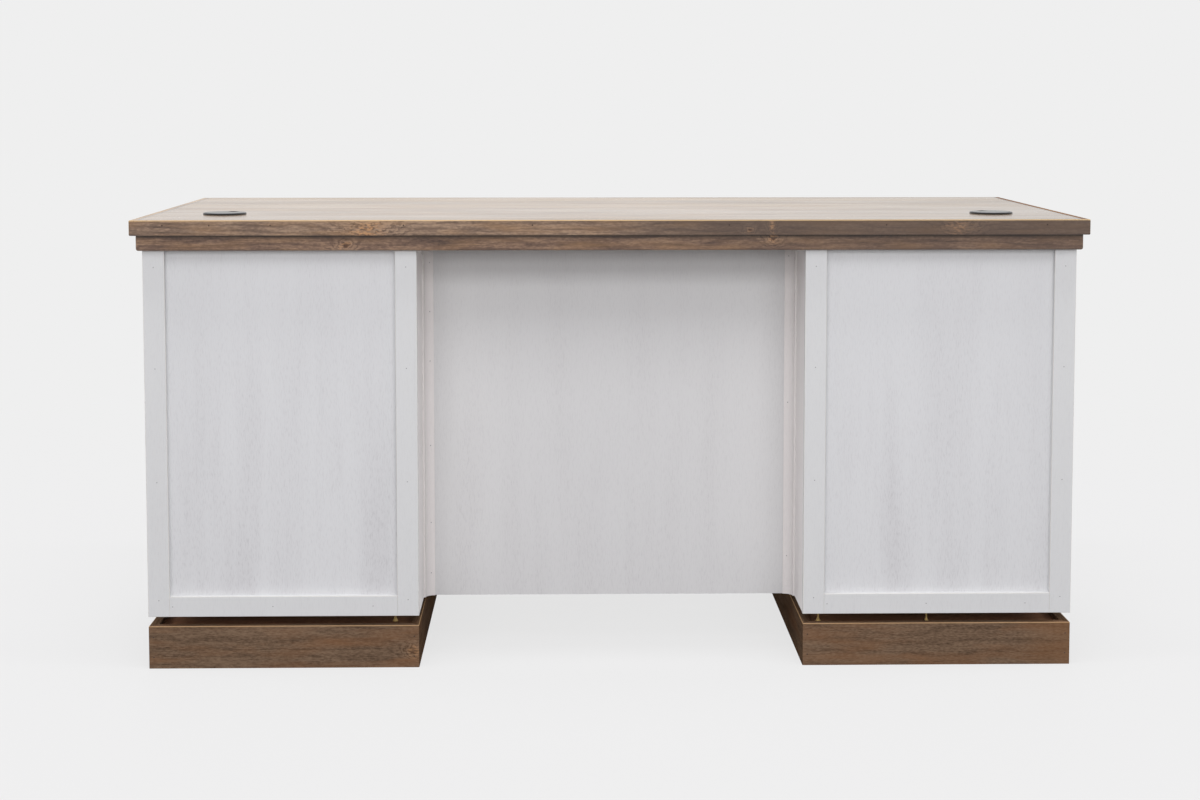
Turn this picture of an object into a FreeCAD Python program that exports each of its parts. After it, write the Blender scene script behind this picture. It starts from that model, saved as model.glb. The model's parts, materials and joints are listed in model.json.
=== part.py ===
import FreeCAD, Part
import os
from collections import namedtuple

# A double-pedestal office desk. X runs along the desk, +Y from the visitor's side to the user's
# side, where the drawers open, and +Z is up. The origin is on the floor below the middle of the
# top. Sizes are in millimetres, and left and right are as the visitor sees them.

# Top: a core panel with mitred strips of solid wood round it
TOP_WIDTH = 1676.0
TOP_DEPTH = 762.0
TOP_THICKNESS = 27.0
EDGE_STRIP_WIDTH = 12.0
TOP_ARRIS = 2.0

# Sub-top: a mitred frame of rails that carries the top and thickens its edge
SUB_TOP_THICKNESS = 27.0
SUB_TOP_INSET = 9.5
SUB_TOP_RAIL_WIDTH = 70.0
SUB_TOP_ROUND = 4.0

# Pedestals: boxes with an applied frame of stiles and a bottom rail on the back and the outer end
PEDESTAL_WIDTH = 478.0
PEDESTAL_HEIGHT = 650.0
PEDESTAL_INSET = 19.0
USER_INSET = 32.0
SIDE_THICKNESS = 19.0
BOTTOM_THICKNESS = 19.0
BACK_THICKNESS = 12.0
STRETCHER_THICKNESS = 19.0
STRETCHER_WIDTH = 70.0
FRAME_THICKNESS = 12.0
STILE_WIDTH = 38.0
FRAME_RAIL_HEIGHT = 36.0
FRAME_ARRIS = 0.8

# Modesty panel between the pedestals, with a cove moulding in each corner
MODESTY_SETBACK = 153.0
MODESTY_THICKNESS = 19.0
COVE_LEG = 20.0
COVE_LIP = 3.0

# Plinths: mitred boards round two cleats, and bearers that carry the levelling screws
PLINTH_HEIGHT = 76.0
PLINTH_BOARD_THICKNESS = 16.0
PLINTH_ARRIS = 1.5
SHADOW_GAP = 17.0
BEARER_DROP = 8.0
BEARER_THICKNESS = 19.0
BEARER_WIDTH = 150.0
CLEAT_WIDTH = 16.0
CLEAT_HEIGHT = 38.0
CLEAT_END_GAP = 29.0

# Wood screws: the same screw levels the pedestals and holds the sub-top to the stretchers
SCREW_HEAD_RADIUS = 5.0
SCREW_HEAD_RIM = 0.8
SCREW_CONE_HEIGHT = 6.0
SCREW_SHANK_RADIUS = 2.0
SCREW_POINT_LENGTH = 6.0
SCREW_PILOT_CLEARANCE = 0.15
LEVELLING_SCREW_BITE = 15.0
SUB_TOP_SCREW_BITE = 21.0

# Places of the levelling screws, as shares of the pedestal's width from its inner face and of its
# depth from the visitor's face
LEFT_LEVELLING_SHARES = ((0.098, 0.087), (0.90, 0.20), (0.10, 0.92), (0.90, 0.92))
RIGHT_LEVELLING_SHARES = ((0.069, 0.062), (0.476, 0.055), (0.90, 0.20), (0.10, 0.92), (0.90, 0.92))
SUB_TOP_SCREW_SHARES = (0.2, 0.8)

# Cable grommets: a flanged sleeve and a lift-out cap with a cable slot
GROMMET_FROM_END = 138.0
GROMMET_FROM_EDGE = 180.0
FLANGE_RADIUS = 39.0
FLANGE_THICKNESS = 3.5
FLANGE_ROUND = 1.5
SLEEVE_RADIUS = 32.0
SLEEVE_WALL = 2.0
SLEEVE_LENGTH = 40.0
GROMMET_HOLE_CLEARANCE = 0.5
CAP_RADIUS = 34.0
CAP_THICKNESS = 2.0
CAP_ROUND = 0.6
CAP_CLEARANCE = 0.4
CAP_SKIRT_DEPTH = 10.0
CAP_SKIRT_WALL = 2.0
CABLE_SLOT_WIDTH = 15.0
CABLE_SLOT_DEPTH = 16.0
CABLE_SLOT_TURN_DEGREES = 28.0

# Drawer fronts, which cover the user's side of the carcass
FRONT_THICKNESS = 19.0
FRONT_GAP = 2.0
FRONT_REVEAL = 3.0
FRONT_BORDER = 38.0
FRONT_RECESS = 6.0
FRONT_ARRIS = 1.5
PENCIL_FRONT_HEIGHT = 85.0

# Drawer fronts from the bottom up, as shares of the height that they fill
LEFT_FRONT_SHARES = (0.46, 0.27, 0.27)
RIGHT_FRONT_SHARES = (0.5, 0.5)

# Drawer boxes and their slides, with a space behind them for cables and for the knees
BOX_BOARD_THICKNESS = 12.0
BOX_BOTTOM_THICKNESS = 6.0
BOX_BOTTOM_RISE = 10.0
BOX_GROOVE = 6.0
BOX_CLEARANCE = 12.0
PENCIL_BOX_MARGIN = 14.0
WIRE_SPACE = 218.0
PENCIL_BACK_SPACE = 120.0
SLIDE_SPACE = 13.0
CHANNEL_HEIGHT = 45.0
CHANNEL_DEPTH = 9.0
RUNNER_DEPTH = 9.0
SLIDE_METAL = 1.5
SLIDE_CLEARANCE = 0.4

# Drawer pulls: a bar on two posts, held by screws from inside the drawer
PULL_LENGTH = 160.0
PULL_CENTRES = 128.0
PULL_DROP = 86.0
PULL_REACH = 28.0
PULL_BAR_HEIGHT = 12.0
PULL_BAR_DEPTH = 8.0
PULL_ROUND = 2.0
PULL_POST_WIDTH = 10.0
PULL_SCREW_RADIUS = 2.0
PULL_SCREW_HEAD_RADIUS = 4.0
PULL_SCREW_HEAD_HEIGHT = 2.5
PULL_SCREW_BITE = 8.0
PULL_SCREW_CLEARANCE = 0.25

# How far a cutting shape runs past what it cuts, and how near two places count as one
OVERRUN = 5.0
MATCH = 0.001

# Heights that follow from the sizes above
BEARER_TOP = PLINTH_HEIGHT - BEARER_DROP
PEDESTAL_BOTTOM = PLINTH_HEIGHT + SHADOW_GAP
PEDESTAL_TOP = PEDESTAL_BOTTOM + PEDESTAL_HEIGHT
TOP_UNDERSIDE = PEDESTAL_TOP + SUB_TOP_THICKNESS
TOP_SURFACE = TOP_UNDERSIDE + TOP_THICKNESS

# Places in plan that follow from the sizes above, with X counted from the middle outwards
TOP_END = TOP_WIDTH / 2
USER_EDGE = TOP_DEPTH / 2
VISITOR_EDGE = -USER_EDGE
OUTER_FACE = TOP_END - PEDESTAL_INSET
INNER_FACE = OUTER_FACE - PEDESTAL_WIDTH
OUTER_SIDE_FACE = OUTER_FACE - FRAME_THICKNESS
OUTER_CLEAR = OUTER_SIDE_FACE - SIDE_THICKNESS
INNER_CLEAR = INNER_FACE + SIDE_THICKNESS
VISITOR_FACE = VISITOR_EDGE + PEDESTAL_INSET
CARCASS_BACK = VISITOR_FACE + FRAME_THICKNESS
CARCASS_BACK_CLEAR = CARCASS_BACK + BACK_THICKNESS
USER_FACE = USER_EDGE - USER_INSET
FRONT_BACK_FACE = USER_FACE - FRONT_THICKNESS
CARCASS_FRONT = FRONT_BACK_FACE - FRONT_GAP
MODESTY_FACE = VISITOR_FACE + MODESTY_SETBACK
MODESTY_BACK = MODESTY_FACE + MODESTY_THICKNESS
SLIDE_LENGTH = FRONT_BACK_FACE - CARCASS_BACK_CLEAR - WIRE_SPACE
PENCIL_SLIDE_LENGTH = FRONT_BACK_FACE - MODESTY_BACK - PENCIL_BACK_SPACE
PEDESTAL_Z = (PEDESTAL_BOTTOM, PEDESTAL_TOP)

LEFT = -1
RIGHT = 1
SIDES = {"left": LEFT, "right": RIGHT}
UP = FreeCAD.Vector(0, 0, 1)
TOWARDS_USER = FreeCAD.Vector(0, 1, 0)

Drawer = namedtuple("Drawer", "name front_x front_z box_x box_z slide_length pull_z pull_face recessed")


def block(x_ends, y_ends, z_ends):
    """A box between two places on each axis, given in either order."""
    low = FreeCAD.Vector(min(x_ends), min(y_ends), min(z_ends))
    high = FreeCAD.Vector(max(x_ends), max(y_ends), max(z_ends))
    size = high - low
    return Part.makeBox(size.x, size.y, size.z, low)


def sided(side, *distances):
    """Distances from the middle as X places on one side of the desk."""
    return tuple(side * distance for distance in distances)


def prism(outline, height, direction=UP):
    """A closed outline of points carried a height along a direction."""
    wire = Part.makePolygon(list(outline) + [outline[0]])
    return Part.Face(wire).extrude(direction * height)


def disc(radius, x, y, z_ends):
    """An upright cylinder between two heights."""
    low, high = z_ends
    return Part.makeCylinder(radius, high - low, FreeCAD.Vector(x, y, low))


def edges_on(shape, planes):
    """The edges of a shape whose ends lie on all the given planes, such as {"y": 0}."""
    found = []
    for edge in shape.Edges:
        points = [vertex.Point for vertex in edge.Vertexes]
        if all(abs(getattr(p, axis) - place) < MATCH for p in points for axis, place in planes.items()):
            found.append(edge)
    return found


def eased(shape, radius, *lines):
    """The shape with its edges on the given planes rounded."""
    edges = [edge for planes in lines for edge in edges_on(shape, planes)]
    return shape.makeFillet(radius, edges)


def mitred_ring(blank, x_ends, y_ends, z_ends, width):
    """A blank cut to a frame of four mitred pieces: visitor's, right, user's and left."""
    left, right = sorted(x_ends)
    front, back = sorted(y_ends)
    low, high = z_ends
    base = low - OVERRUN

    def corners(inset):
        near_x = (left + inset, right - inset)
        near_y = (front + inset, back - inset)
        plan = ((0, 0), (1, 0), (1, 1), (0, 1))
        return [FreeCAD.Vector(near_x[i], near_y[j], base) for i, j in plan]

    outer = corners(-OVERRUN)
    inner = corners(width)
    pieces = []
    for start in range(len(outer)):
        stop = (start + 1) % len(outer)
        outline = (outer[start], outer[stop], inner[stop], inner[start])
        pieces.append(blank.common(prism(outline, high - base + OVERRUN)))
    return pieces


def save(name, *shapes):
    """Write the solids of one node to its file."""
    solids = [solid for shape in shapes for solid in shape.Solids]
    node = solids[0] if len(solids) == 1 else Part.Compound(solids)
    node.exportStep(os.path.join("parts", name + ".step"))


def wood_screw(x, y, z, length, clearance=0):
    """A countersunk screw that points up from its head's flat, or its pilot hole with a clearance."""
    rim_top = z + SCREW_HEAD_RIM + clearance
    cone_top = rim_top + SCREW_CONE_HEIGHT
    tip = z + length + clearance
    point_start = tip - SCREW_POINT_LENGTH
    head_radius = SCREW_HEAD_RADIUS + clearance
    shank_radius = SCREW_SHANK_RADIUS + clearance
    profile = (
        FreeCAD.Vector(0, 0, z - clearance),
        FreeCAD.Vector(head_radius, 0, z - clearance),
        FreeCAD.Vector(head_radius, 0, rim_top),
        FreeCAD.Vector(shank_radius, 0, cone_top),
        FreeCAD.Vector(shank_radius, 0, point_start),
        FreeCAD.Vector(0, 0, tip),
    )
    face = Part.Face(Part.makePolygon(list(profile) + [profile[0]]))
    screw = face.revolve(FreeCAD.Vector(0, 0, 0), UP, 360)
    screw.translate(FreeCAD.Vector(x, y, 0))
    return screw


def levelling_spots(side):
    """The plan places of one pedestal's levelling screws."""
    shares = LEFT_LEVELLING_SHARES if side == LEFT else RIGHT_LEVELLING_SHARES
    depth = USER_FACE - VISITOR_FACE
    spots = []
    for across, along in shares:
        x = side * (INNER_FACE + across * PEDESTAL_WIDTH)
        spots.append((x, VISITOR_FACE + along * depth))
    return spots


def levelling_screws(clearance=0):
    """The screws that stand on the bearers and level both pedestals, or their pilot holes."""
    length = BEARER_DROP + SHADOW_GAP + LEVELLING_SCREW_BITE
    spots = [spot for side in SIDES.values() for spot in levelling_spots(side)]
    return [wood_screw(x, y, BEARER_TOP, length, clearance) for x, y in spots]


def sub_top_screws(clearance=0):
    """The screws that go up through the stretchers into the sub-top, or their holes."""
    visitor_rail_inner = VISITOR_EDGE + SUB_TOP_INSET + SUB_TOP_RAIL_WIDTH
    user_rail_inner = USER_EDGE - SUB_TOP_INSET - SUB_TOP_RAIL_WIDTH
    rows = ((CARCASS_BACK_CLEAR + visitor_rail_inner) / 2, (user_rail_inner + CARCASS_FRONT) / 2)
    head_z = PEDESTAL_TOP - STRETCHER_THICKNESS
    length = STRETCHER_THICKNESS + SUB_TOP_SCREW_BITE
    span = OUTER_CLEAR - INNER_CLEAR
    screws = []
    for side in SIDES.values():
        for share in SUB_TOP_SCREW_SHARES:
            x = side * (INNER_CLEAR + share * span)
            screws += [wood_screw(x, y, head_z, length, clearance) for y in rows]
    return screws


def grommet_place(side):
    """The plan place of one grommet's centre."""
    return side * (TOP_END - GROMMET_FROM_END), VISITOR_EDGE + GROMMET_FROM_EDGE


def make_top():
    """The core panel with its grommet holes, and the mitred strips round it."""
    x_ends = (-TOP_END, TOP_END)
    y_ends = (VISITOR_EDGE, USER_EDGE)
    z_ends = (TOP_UNDERSIDE, TOP_SURFACE)
    blank = block(x_ends, y_ends, z_ends)
    blank = blank.makeFillet(TOP_ARRIS, blank.Edges)
    visitor, right, user, left = mitred_ring(blank, x_ends, y_ends, z_ends, EDGE_STRIP_WIDTH)
    core_end = TOP_END - EDGE_STRIP_WIDTH
    core_edge = USER_EDGE - EDGE_STRIP_WIDTH
    core = block((-core_end, core_end), (-core_edge, core_edge), z_ends)
    for side in SIDES.values():
        x, y = grommet_place(side)
        hole = (TOP_UNDERSIDE - OVERRUN, TOP_SURFACE + OVERRUN)
        core = core.cut(disc(SLEEVE_RADIUS + GROMMET_HOLE_CLEARANCE, x, y, hole))
    save("top_panel", core)
    save("top_long_edges", visitor, user)
    save("top_end_edges", left, right)


def make_sub_top():
    """The mitred rails under the top, with pilot holes for the screws from the stretchers."""
    end = TOP_END - SUB_TOP_INSET
    edge = USER_EDGE - SUB_TOP_INSET
    z_ends = (PEDESTAL_TOP, TOP_UNDERSIDE)
    blank = block((-end, end), (-edge, edge), z_ends)
    corners = [{"x": x, "y": y} for x in (-end, end) for y in (-edge, edge)]
    blank = eased(blank, SUB_TOP_ROUND, {"z": PEDESTAL_TOP}, *corners)
    blank = blank.cut(Part.Compound(sub_top_screws(SCREW_PILOT_CLEARANCE)))
    visitor, right, user, left = mitred_ring(blank, (-end, end), (-edge, edge), z_ends, SUB_TOP_RAIL_WIDTH)
    save("sub_top_long_rails", visitor, user)
    save("sub_top_end_rails", left, right)


def make_carcass(name, side):
    """One pedestal's sides, bottom, back panel and stretchers."""
    depth = (CARCASS_BACK, CARCASS_FRONT)
    between = sided(side, INNER_CLEAR, OUTER_CLEAR)
    bottom_z = (PEDESTAL_BOTTOM, PEDESTAL_BOTTOM + BOTTOM_THICKNESS)
    stretcher_z = (PEDESTAL_TOP - STRETCHER_THICKNESS, PEDESTAL_TOP)
    bottom = block(between, (CARCASS_BACK_CLEAR, CARCASS_FRONT), bottom_z)
    stretchers = Part.Compound([
        block(between, (CARCASS_BACK_CLEAR, CARCASS_BACK_CLEAR + STRETCHER_WIDTH), stretcher_z),
        block(between, (CARCASS_FRONT - STRETCHER_WIDTH, CARCASS_FRONT), stretcher_z),
    ])
    inner_side = block(sided(side, INNER_FACE, INNER_CLEAR), depth, PEDESTAL_Z)
    inner_edge = side * INNER_FACE
    save(name + "_inner_side", eased(inner_side, FRAME_ARRIS, {"x": inner_edge, "z": PEDESTAL_BOTTOM}))
    save(name + "_outer_side", block(sided(side, OUTER_CLEAR, OUTER_SIDE_FACE), depth, PEDESTAL_Z))
    save(name + "_back_panel", block(between, (CARCASS_BACK, CARCASS_BACK_CLEAR), PEDESTAL_Z))
    save(name + "_bottom", bottom.cut(Part.Compound(levelling_screws(SCREW_PILOT_CLEARANCE))))
    save(name + "_stretchers", stretchers.cut(Part.Compound(sub_top_screws(SCREW_PILOT_CLEARANCE))))


def make_applied_frames(name, side):
    """The stiles and bottom rail on one pedestal's back, and those on its outer end."""
    rail_top = PEDESTAL_BOTTOM + FRAME_RAIL_HEIGHT
    rail_z = (PEDESTAL_BOTTOM, rail_top)
    back_y = (VISITOR_FACE, CARCASS_BACK)
    inner_stile_edge = INNER_FACE + STILE_WIDTH
    outer_stile_edge = OUTER_FACE - STILE_WIDTH
    back_stiles = [
        block(sided(side, INNER_FACE, inner_stile_edge), back_y, PEDESTAL_Z),
        block(sided(side, outer_stile_edge, OUTER_FACE), back_y, PEDESTAL_Z),
    ]
    back_rail = block(sided(side, inner_stile_edge, outer_stile_edge), back_y, rail_z)
    face = {"y": VISITOR_FACE}
    rail_lines = ({"y": VISITOR_FACE, "z": PEDESTAL_BOTTOM}, {"y": VISITOR_FACE, "z": rail_top})
    save(name + "_back_frame", *[eased(stile, FRAME_ARRIS, face) for stile in back_stiles],
         eased(back_rail, FRAME_ARRIS, *rail_lines))

    end_x = sided(side, OUTER_SIDE_FACE, OUTER_FACE)
    visitor_stile_edge = VISITOR_FACE + STILE_WIDTH
    user_stile_edge = CARCASS_FRONT - STILE_WIDTH
    end_stiles = [
        block(end_x, (CARCASS_BACK, visitor_stile_edge), PEDESTAL_Z),
        block(end_x, (user_stile_edge, CARCASS_FRONT), PEDESTAL_Z),
    ]
    end_rail = block(end_x, (visitor_stile_edge, user_stile_edge), rail_z)
    end_place = side * OUTER_FACE
    face = {"x": end_place}
    rail_lines = ({"x": end_place, "z": PEDESTAL_BOTTOM}, {"x": end_place, "z": rail_top})
    save(name + "_end_frame", *[eased(stile, FRAME_ARRIS, face) for stile in end_stiles],
         eased(end_rail, FRAME_ARRIS, *rail_lines))


def make_modesty_panel():
    """The panel between the pedestals, up to the top, and the coves in its corners."""
    panel_z = (PEDESTAL_BOTTOM, TOP_UNDERSIDE)
    panel = block((-INNER_FACE, INNER_FACE), (MODESTY_FACE, MODESTY_BACK), panel_z)
    coves = []
    for side in SIDES.values():
        def spot(along, out):
            return FreeCAD.Vector(side * (INNER_FACE - along), MODESTY_FACE - out, PEDESTAL_BOTTOM)

        hollow = COVE_LEG - COVE_LIP
        middle = COVE_LEG - hollow * 0.5 ** 0.5
        edges = [
            Part.makeLine(spot(0, 0), spot(COVE_LEG, 0)),
            Part.makeLine(spot(COVE_LEG, 0), spot(COVE_LEG, COVE_LIP)),
            Part.Arc(spot(COVE_LEG, COVE_LIP), spot(middle, middle), spot(COVE_LIP, COVE_LEG)).toShape(),
            Part.makeLine(spot(COVE_LIP, COVE_LEG), spot(0, COVE_LEG)),
            Part.makeLine(spot(0, COVE_LEG), spot(0, 0)),
        ]
        coves.append(Part.Face(Part.Wire(edges)).extrude(UP * PEDESTAL_HEIGHT))
    save("modesty_panel", panel)
    save("modesty_coves", *coves)


def make_plinth(name, side):
    """One plinth's mitred boards, the cleats on its side boards and the bearers on the cleats."""
    x_ends = sided(side, INNER_FACE, OUTER_FACE)
    y_ends = (VISITOR_FACE, USER_FACE)
    z_ends = (0, PLINTH_HEIGHT)
    blank = block(x_ends, y_ends, z_ends)
    corners = [{"x": x, "y": y} for x in x_ends for y in y_ends]
    blank = eased(blank, PLINTH_ARRIS, {"z": PLINTH_HEIGHT}, *corners)
    visitor, right, user, left = mitred_ring(blank, x_ends, y_ends, z_ends, PLINTH_BOARD_THICKNESS)
    save(name + "_plinth_face_boards", visitor, user)
    save(name + "_plinth_side_boards", left, right)

    inner = INNER_FACE + PLINTH_BOARD_THICKNESS
    outer = OUTER_FACE - PLINTH_BOARD_THICKNESS
    front = VISITOR_FACE + PLINTH_BOARD_THICKNESS
    back = USER_FACE - PLINTH_BOARD_THICKNESS
    bearer_z = (BEARER_TOP - BEARER_THICKNESS, BEARER_TOP)
    cleat_z = (BEARER_TOP - BEARER_THICKNESS - CLEAT_HEIGHT, BEARER_TOP - BEARER_THICKNESS)
    cleat_y = (front + CLEAT_END_GAP, back - CLEAT_END_GAP)
    save(name + "_plinth_cleats",
         block(sided(side, inner, inner + CLEAT_WIDTH), cleat_y, cleat_z),
         block(sided(side, outer - CLEAT_WIDTH, outer), cleat_y, cleat_z))
    save(name + "_plinth_bearers",
         block(sided(side, inner, outer), (front, front + BEARER_WIDTH), bearer_z),
         block(sided(side, inner, outer), (back - BEARER_WIDTH, back), bearer_z))


def grommet_sleeve(side):
    """One flanged sleeve, with a seat in its flange for the cap."""
    x, y = grommet_place(side)
    flange_top = TOP_SURFACE + FLANGE_THICKNESS
    seat = flange_top - CAP_THICKNESS
    flange = disc(FLANGE_RADIUS, x, y, (TOP_SURFACE, flange_top))
    flange = eased(flange, FLANGE_ROUND, {"z": flange_top})
    sleeve_bottom = TOP_SURFACE - SLEEVE_LENGTH
    tube = disc(SLEEVE_RADIUS, x, y, (sleeve_bottom, TOP_SURFACE))
    bore = disc(SLEEVE_RADIUS - SLEEVE_WALL, x, y, (sleeve_bottom - OVERRUN, flange_top + OVERRUN))
    recess = disc(CAP_RADIUS + CAP_CLEARANCE, x, y, (seat, flange_top + OVERRUN))
    return flange.fuse(tube).removeSplitter().cut(bore).cut(recess)


def grommet_cap(side):
    """One cap with its skirt, and a cable slot at the user's edge, turned towards the desk's middle."""
    x, y = grommet_place(side)
    cap_top = TOP_SURFACE + FLANGE_THICKNESS
    cap_under = cap_top - CAP_THICKNESS
    skirt_bottom = cap_under - CAP_SKIRT_DEPTH
    skirt_radius = SLEEVE_RADIUS - SLEEVE_WALL - CAP_CLEARANCE
    lid = eased(disc(CAP_RADIUS, x, y, (cap_under, cap_top)), CAP_ROUND, {"z": cap_top})
    skirt = disc(skirt_radius, x, y, (skirt_bottom, cap_under))
    hollow = disc(skirt_radius - CAP_SKIRT_WALL, x, y, (skirt_bottom - OVERRUN, cap_under))
    half = CABLE_SLOT_WIDTH / 2
    slot_y = (y + CAP_RADIUS - CABLE_SLOT_DEPTH, y + CAP_RADIUS + OVERRUN)
    slot = block((x - half, x + half), slot_y, (skirt_bottom - OVERRUN, cap_top + OVERRUN))
    slot.rotate(FreeCAD.Vector(x, y, 0), UP, side * CABLE_SLOT_TURN_DEGREES)
    return lid.fuse(skirt).removeSplitter().cut(hollow).cut(slot)


def pedestal_drawers(side, names, shares):
    """The plan of one pedestal's drawers from the bottom up."""
    drawers = []
    filled = PEDESTAL_HEIGHT - FRONT_REVEAL * (len(shares) + 1)
    low = PEDESTAL_BOTTOM + FRONT_REVEAL
    half_reveal = FRONT_REVEAL / 2
    box_rise = BOTTOM_THICKNESS + BOX_CLEARANCE - FRONT_REVEAL
    box_drop = STRETCHER_THICKNESS + BOX_CLEARANCE - FRONT_REVEAL
    for name, share in zip(names, shares):
        high = low + filled * share
        drawers.append(Drawer(
            name=name,
            front_x=sided(side, INNER_FACE + half_reveal, OUTER_FACE - half_reveal),
            front_z=(low, high),
            box_x=sorted(sided(side, INNER_CLEAR + SLIDE_SPACE, OUTER_CLEAR - SLIDE_SPACE)),
            box_z=(low + box_rise, high - box_drop),
            slide_length=SLIDE_LENGTH,
            pull_z=high - PULL_DROP,
            pull_face=USER_FACE - FRONT_RECESS,
            recessed=True,
        ))
        low = high + FRONT_REVEAL
    return drawers


def pencil_drawer():
    """The plan of the shallow drawer over the kneehole."""
    high = PEDESTAL_TOP - FRONT_REVEAL
    low = high - PENCIL_FRONT_HEIGHT
    front_end = INNER_FACE - FRONT_REVEAL
    box_end = INNER_FACE - SLIDE_SPACE
    return Drawer(
        name="pencil_drawer",
        front_x=(-front_end, front_end),
        front_z=(low, high),
        box_x=(-box_end, box_end),
        box_z=(low + PENCIL_BOX_MARGIN, high - PENCIL_BOX_MARGIN),
        slide_length=PENCIL_SLIDE_LENGTH,
        pull_z=(low + high) / 2,
        pull_face=USER_FACE,
        recessed=False,
    )


def pull_places(drawer):
    """The X places of one pull's two posts."""
    middle = sum(drawer.front_x) / 2
    return middle - PULL_CENTRES / 2, middle + PULL_CENTRES / 2


def pull_screw(drawer, x, clearance=0):
    """A screw from inside the drawer into a post of its pull, or its hole with a clearance."""
    inside = FRONT_BACK_FACE - BOX_BOARD_THICKNESS
    tip = drawer.pull_face + PULL_SCREW_BITE + clearance
    start = FreeCAD.Vector(x, inside, drawer.pull_z)
    shank = Part.makeCylinder(PULL_SCREW_RADIUS + clearance, tip - inside, start, TOWARDS_USER)
    head_start = FreeCAD.Vector(x, inside - PULL_SCREW_HEAD_HEIGHT, drawer.pull_z)
    head = Part.makeCylinder(PULL_SCREW_HEAD_RADIUS, PULL_SCREW_HEAD_HEIGHT, head_start, TOWARDS_USER)
    return shank.fuse(head)


def pull_screw_holes(drawer):
    """The shapes that cut the holes of one drawer's pull screws."""
    return Part.Compound([pull_screw(drawer, x, PULL_SCREW_CLEARANCE) for x in pull_places(drawer)])


def make_drawer_box(drawer):
    """The boards of one drawer box, with the bottom held in grooves."""
    left, right = drawer.box_x
    low, high = drawer.box_z
    front = FRONT_BACK_FACE
    back = front - drawer.slide_length
    board = BOX_BOARD_THICKNESS
    held = board - BOX_GROOVE
    floor = low + BOX_BOTTOM_RISE
    bottom_z = (floor, floor + BOX_BOTTOM_THICKNESS)
    bottom = block((left + held, right - held), (back + held, front - held), bottom_z)
    boards = [
        block((left, left + board), (back, front), drawer.box_z),
        block((right - board, right), (back, front), drawer.box_z),
        block((left + board, right - board), (front - board, front), drawer.box_z),
        block((left + board, right - board), (back, back + board), drawer.box_z),
    ]
    holes = pull_screw_holes(drawer)
    save(drawer.name + "_box", bottom, *[piece.cut(bottom).cut(holes) for piece in boards])


def make_drawer_front(drawer):
    """One drawer's front, with a recessed field where it is tall enough for one."""
    front = block(drawer.front_x, (FRONT_BACK_FACE, USER_FACE), drawer.front_z)
    front = eased(front, FRONT_ARRIS, {"y": USER_FACE})
    if drawer.recessed:
        left, right = sorted(drawer.front_x)
        low, high = drawer.front_z
        field_x = (left + FRONT_BORDER, right - FRONT_BORDER)
        field_z = (low + FRONT_BORDER, high - FRONT_BORDER)
        front = front.cut(block(field_x, (drawer.pull_face, USER_FACE + OVERRUN), field_z))
    save(drawer.name + "_front", front.cut(pull_screw_holes(drawer)))


def make_drawer_pull(drawer):
    """The bar, posts and screws of one drawer's pull."""
    bar_face = drawer.pull_face + PULL_REACH
    bar_back = bar_face - PULL_BAR_DEPTH
    middle = sum(drawer.front_x) / 2
    half_length = PULL_LENGTH / 2
    half_height = PULL_BAR_HEIGHT / 2
    half_post = PULL_POST_WIDTH / 2
    bar_z = (drawer.pull_z - half_height, drawer.pull_z + half_height)
    bar = block((middle - half_length, middle + half_length), (bar_back, bar_face), bar_z)
    bar = eased(bar, PULL_ROUND, {"y": bar_face})
    post_y = (drawer.pull_face, bar_back)
    post_z = (drawer.pull_z - half_post, drawer.pull_z + half_post)
    holes = pull_screw_holes(drawer)
    posts = []
    screws = []
    for x in pull_places(drawer):
        posts.append(block((x - half_post, x + half_post), post_y, post_z).cut(holes))
        screws.append(pull_screw(drawer, x))
    save(drawer.name + "_pull", bar, *posts, *screws)


def slide_member(wall_x, into, y_ends, middle_z, height, depth):
    """A channel of bent sheet whose web lies on a wall and whose lips point into the gap."""
    half = height / 2
    lip = half - SLIDE_METAL
    web = SLIDE_METAL
    lower = ((0, -half), (depth, -half), (depth, -lip), (web, -lip))
    upper = ((web, lip), (depth, lip), (depth, half), (0, half))
    start, stop = y_ends
    outline = [FreeCAD.Vector(wall_x + into * across, start, middle_z + up) for across, up in lower + upper]
    return prism(outline, stop - start, TOWARDS_USER)


def slide_place(drawer):
    """The Y ends and the middle height of one drawer's slides."""
    return (CARCASS_FRONT - drawer.slide_length, CARCASS_FRONT), sum(drawer.box_z) / 2


def carcass_channels(drawer):
    """The pair of channels that carry one drawer, on the walls beside its box."""
    y_ends, middle_z = slide_place(drawer)
    left, right = drawer.box_x
    return [
        slide_member(left - SLIDE_SPACE, 1, y_ends, middle_z, CHANNEL_HEIGHT, CHANNEL_DEPTH),
        slide_member(right + SLIDE_SPACE, -1, y_ends, middle_z, CHANNEL_HEIGHT, CHANNEL_DEPTH),
    ]


def make_drawer_runners(drawer):
    """The pair of runners on one drawer box, inside the channels."""
    y_ends, middle_z = slide_place(drawer)
    left, right = drawer.box_x
    height = CHANNEL_HEIGHT - (SLIDE_METAL + SLIDE_CLEARANCE) * 2
    save(drawer.name + "_runners",
         slide_member(left, -1, y_ends, middle_z, height, RUNNER_DEPTH),
         slide_member(right, 1, y_ends, middle_z, height, RUNNER_DEPTH))


def make_drawers(place, drawers):
    """All the pieces of the drawers in one place, and the channels that carry them."""
    for drawer in drawers:
        make_drawer_box(drawer)
        make_drawer_front(drawer)
        make_drawer_pull(drawer)
        make_drawer_runners(drawer)
    save(place + "_channels", *[channel for drawer in drawers for channel in carcass_channels(drawer)])


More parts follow.
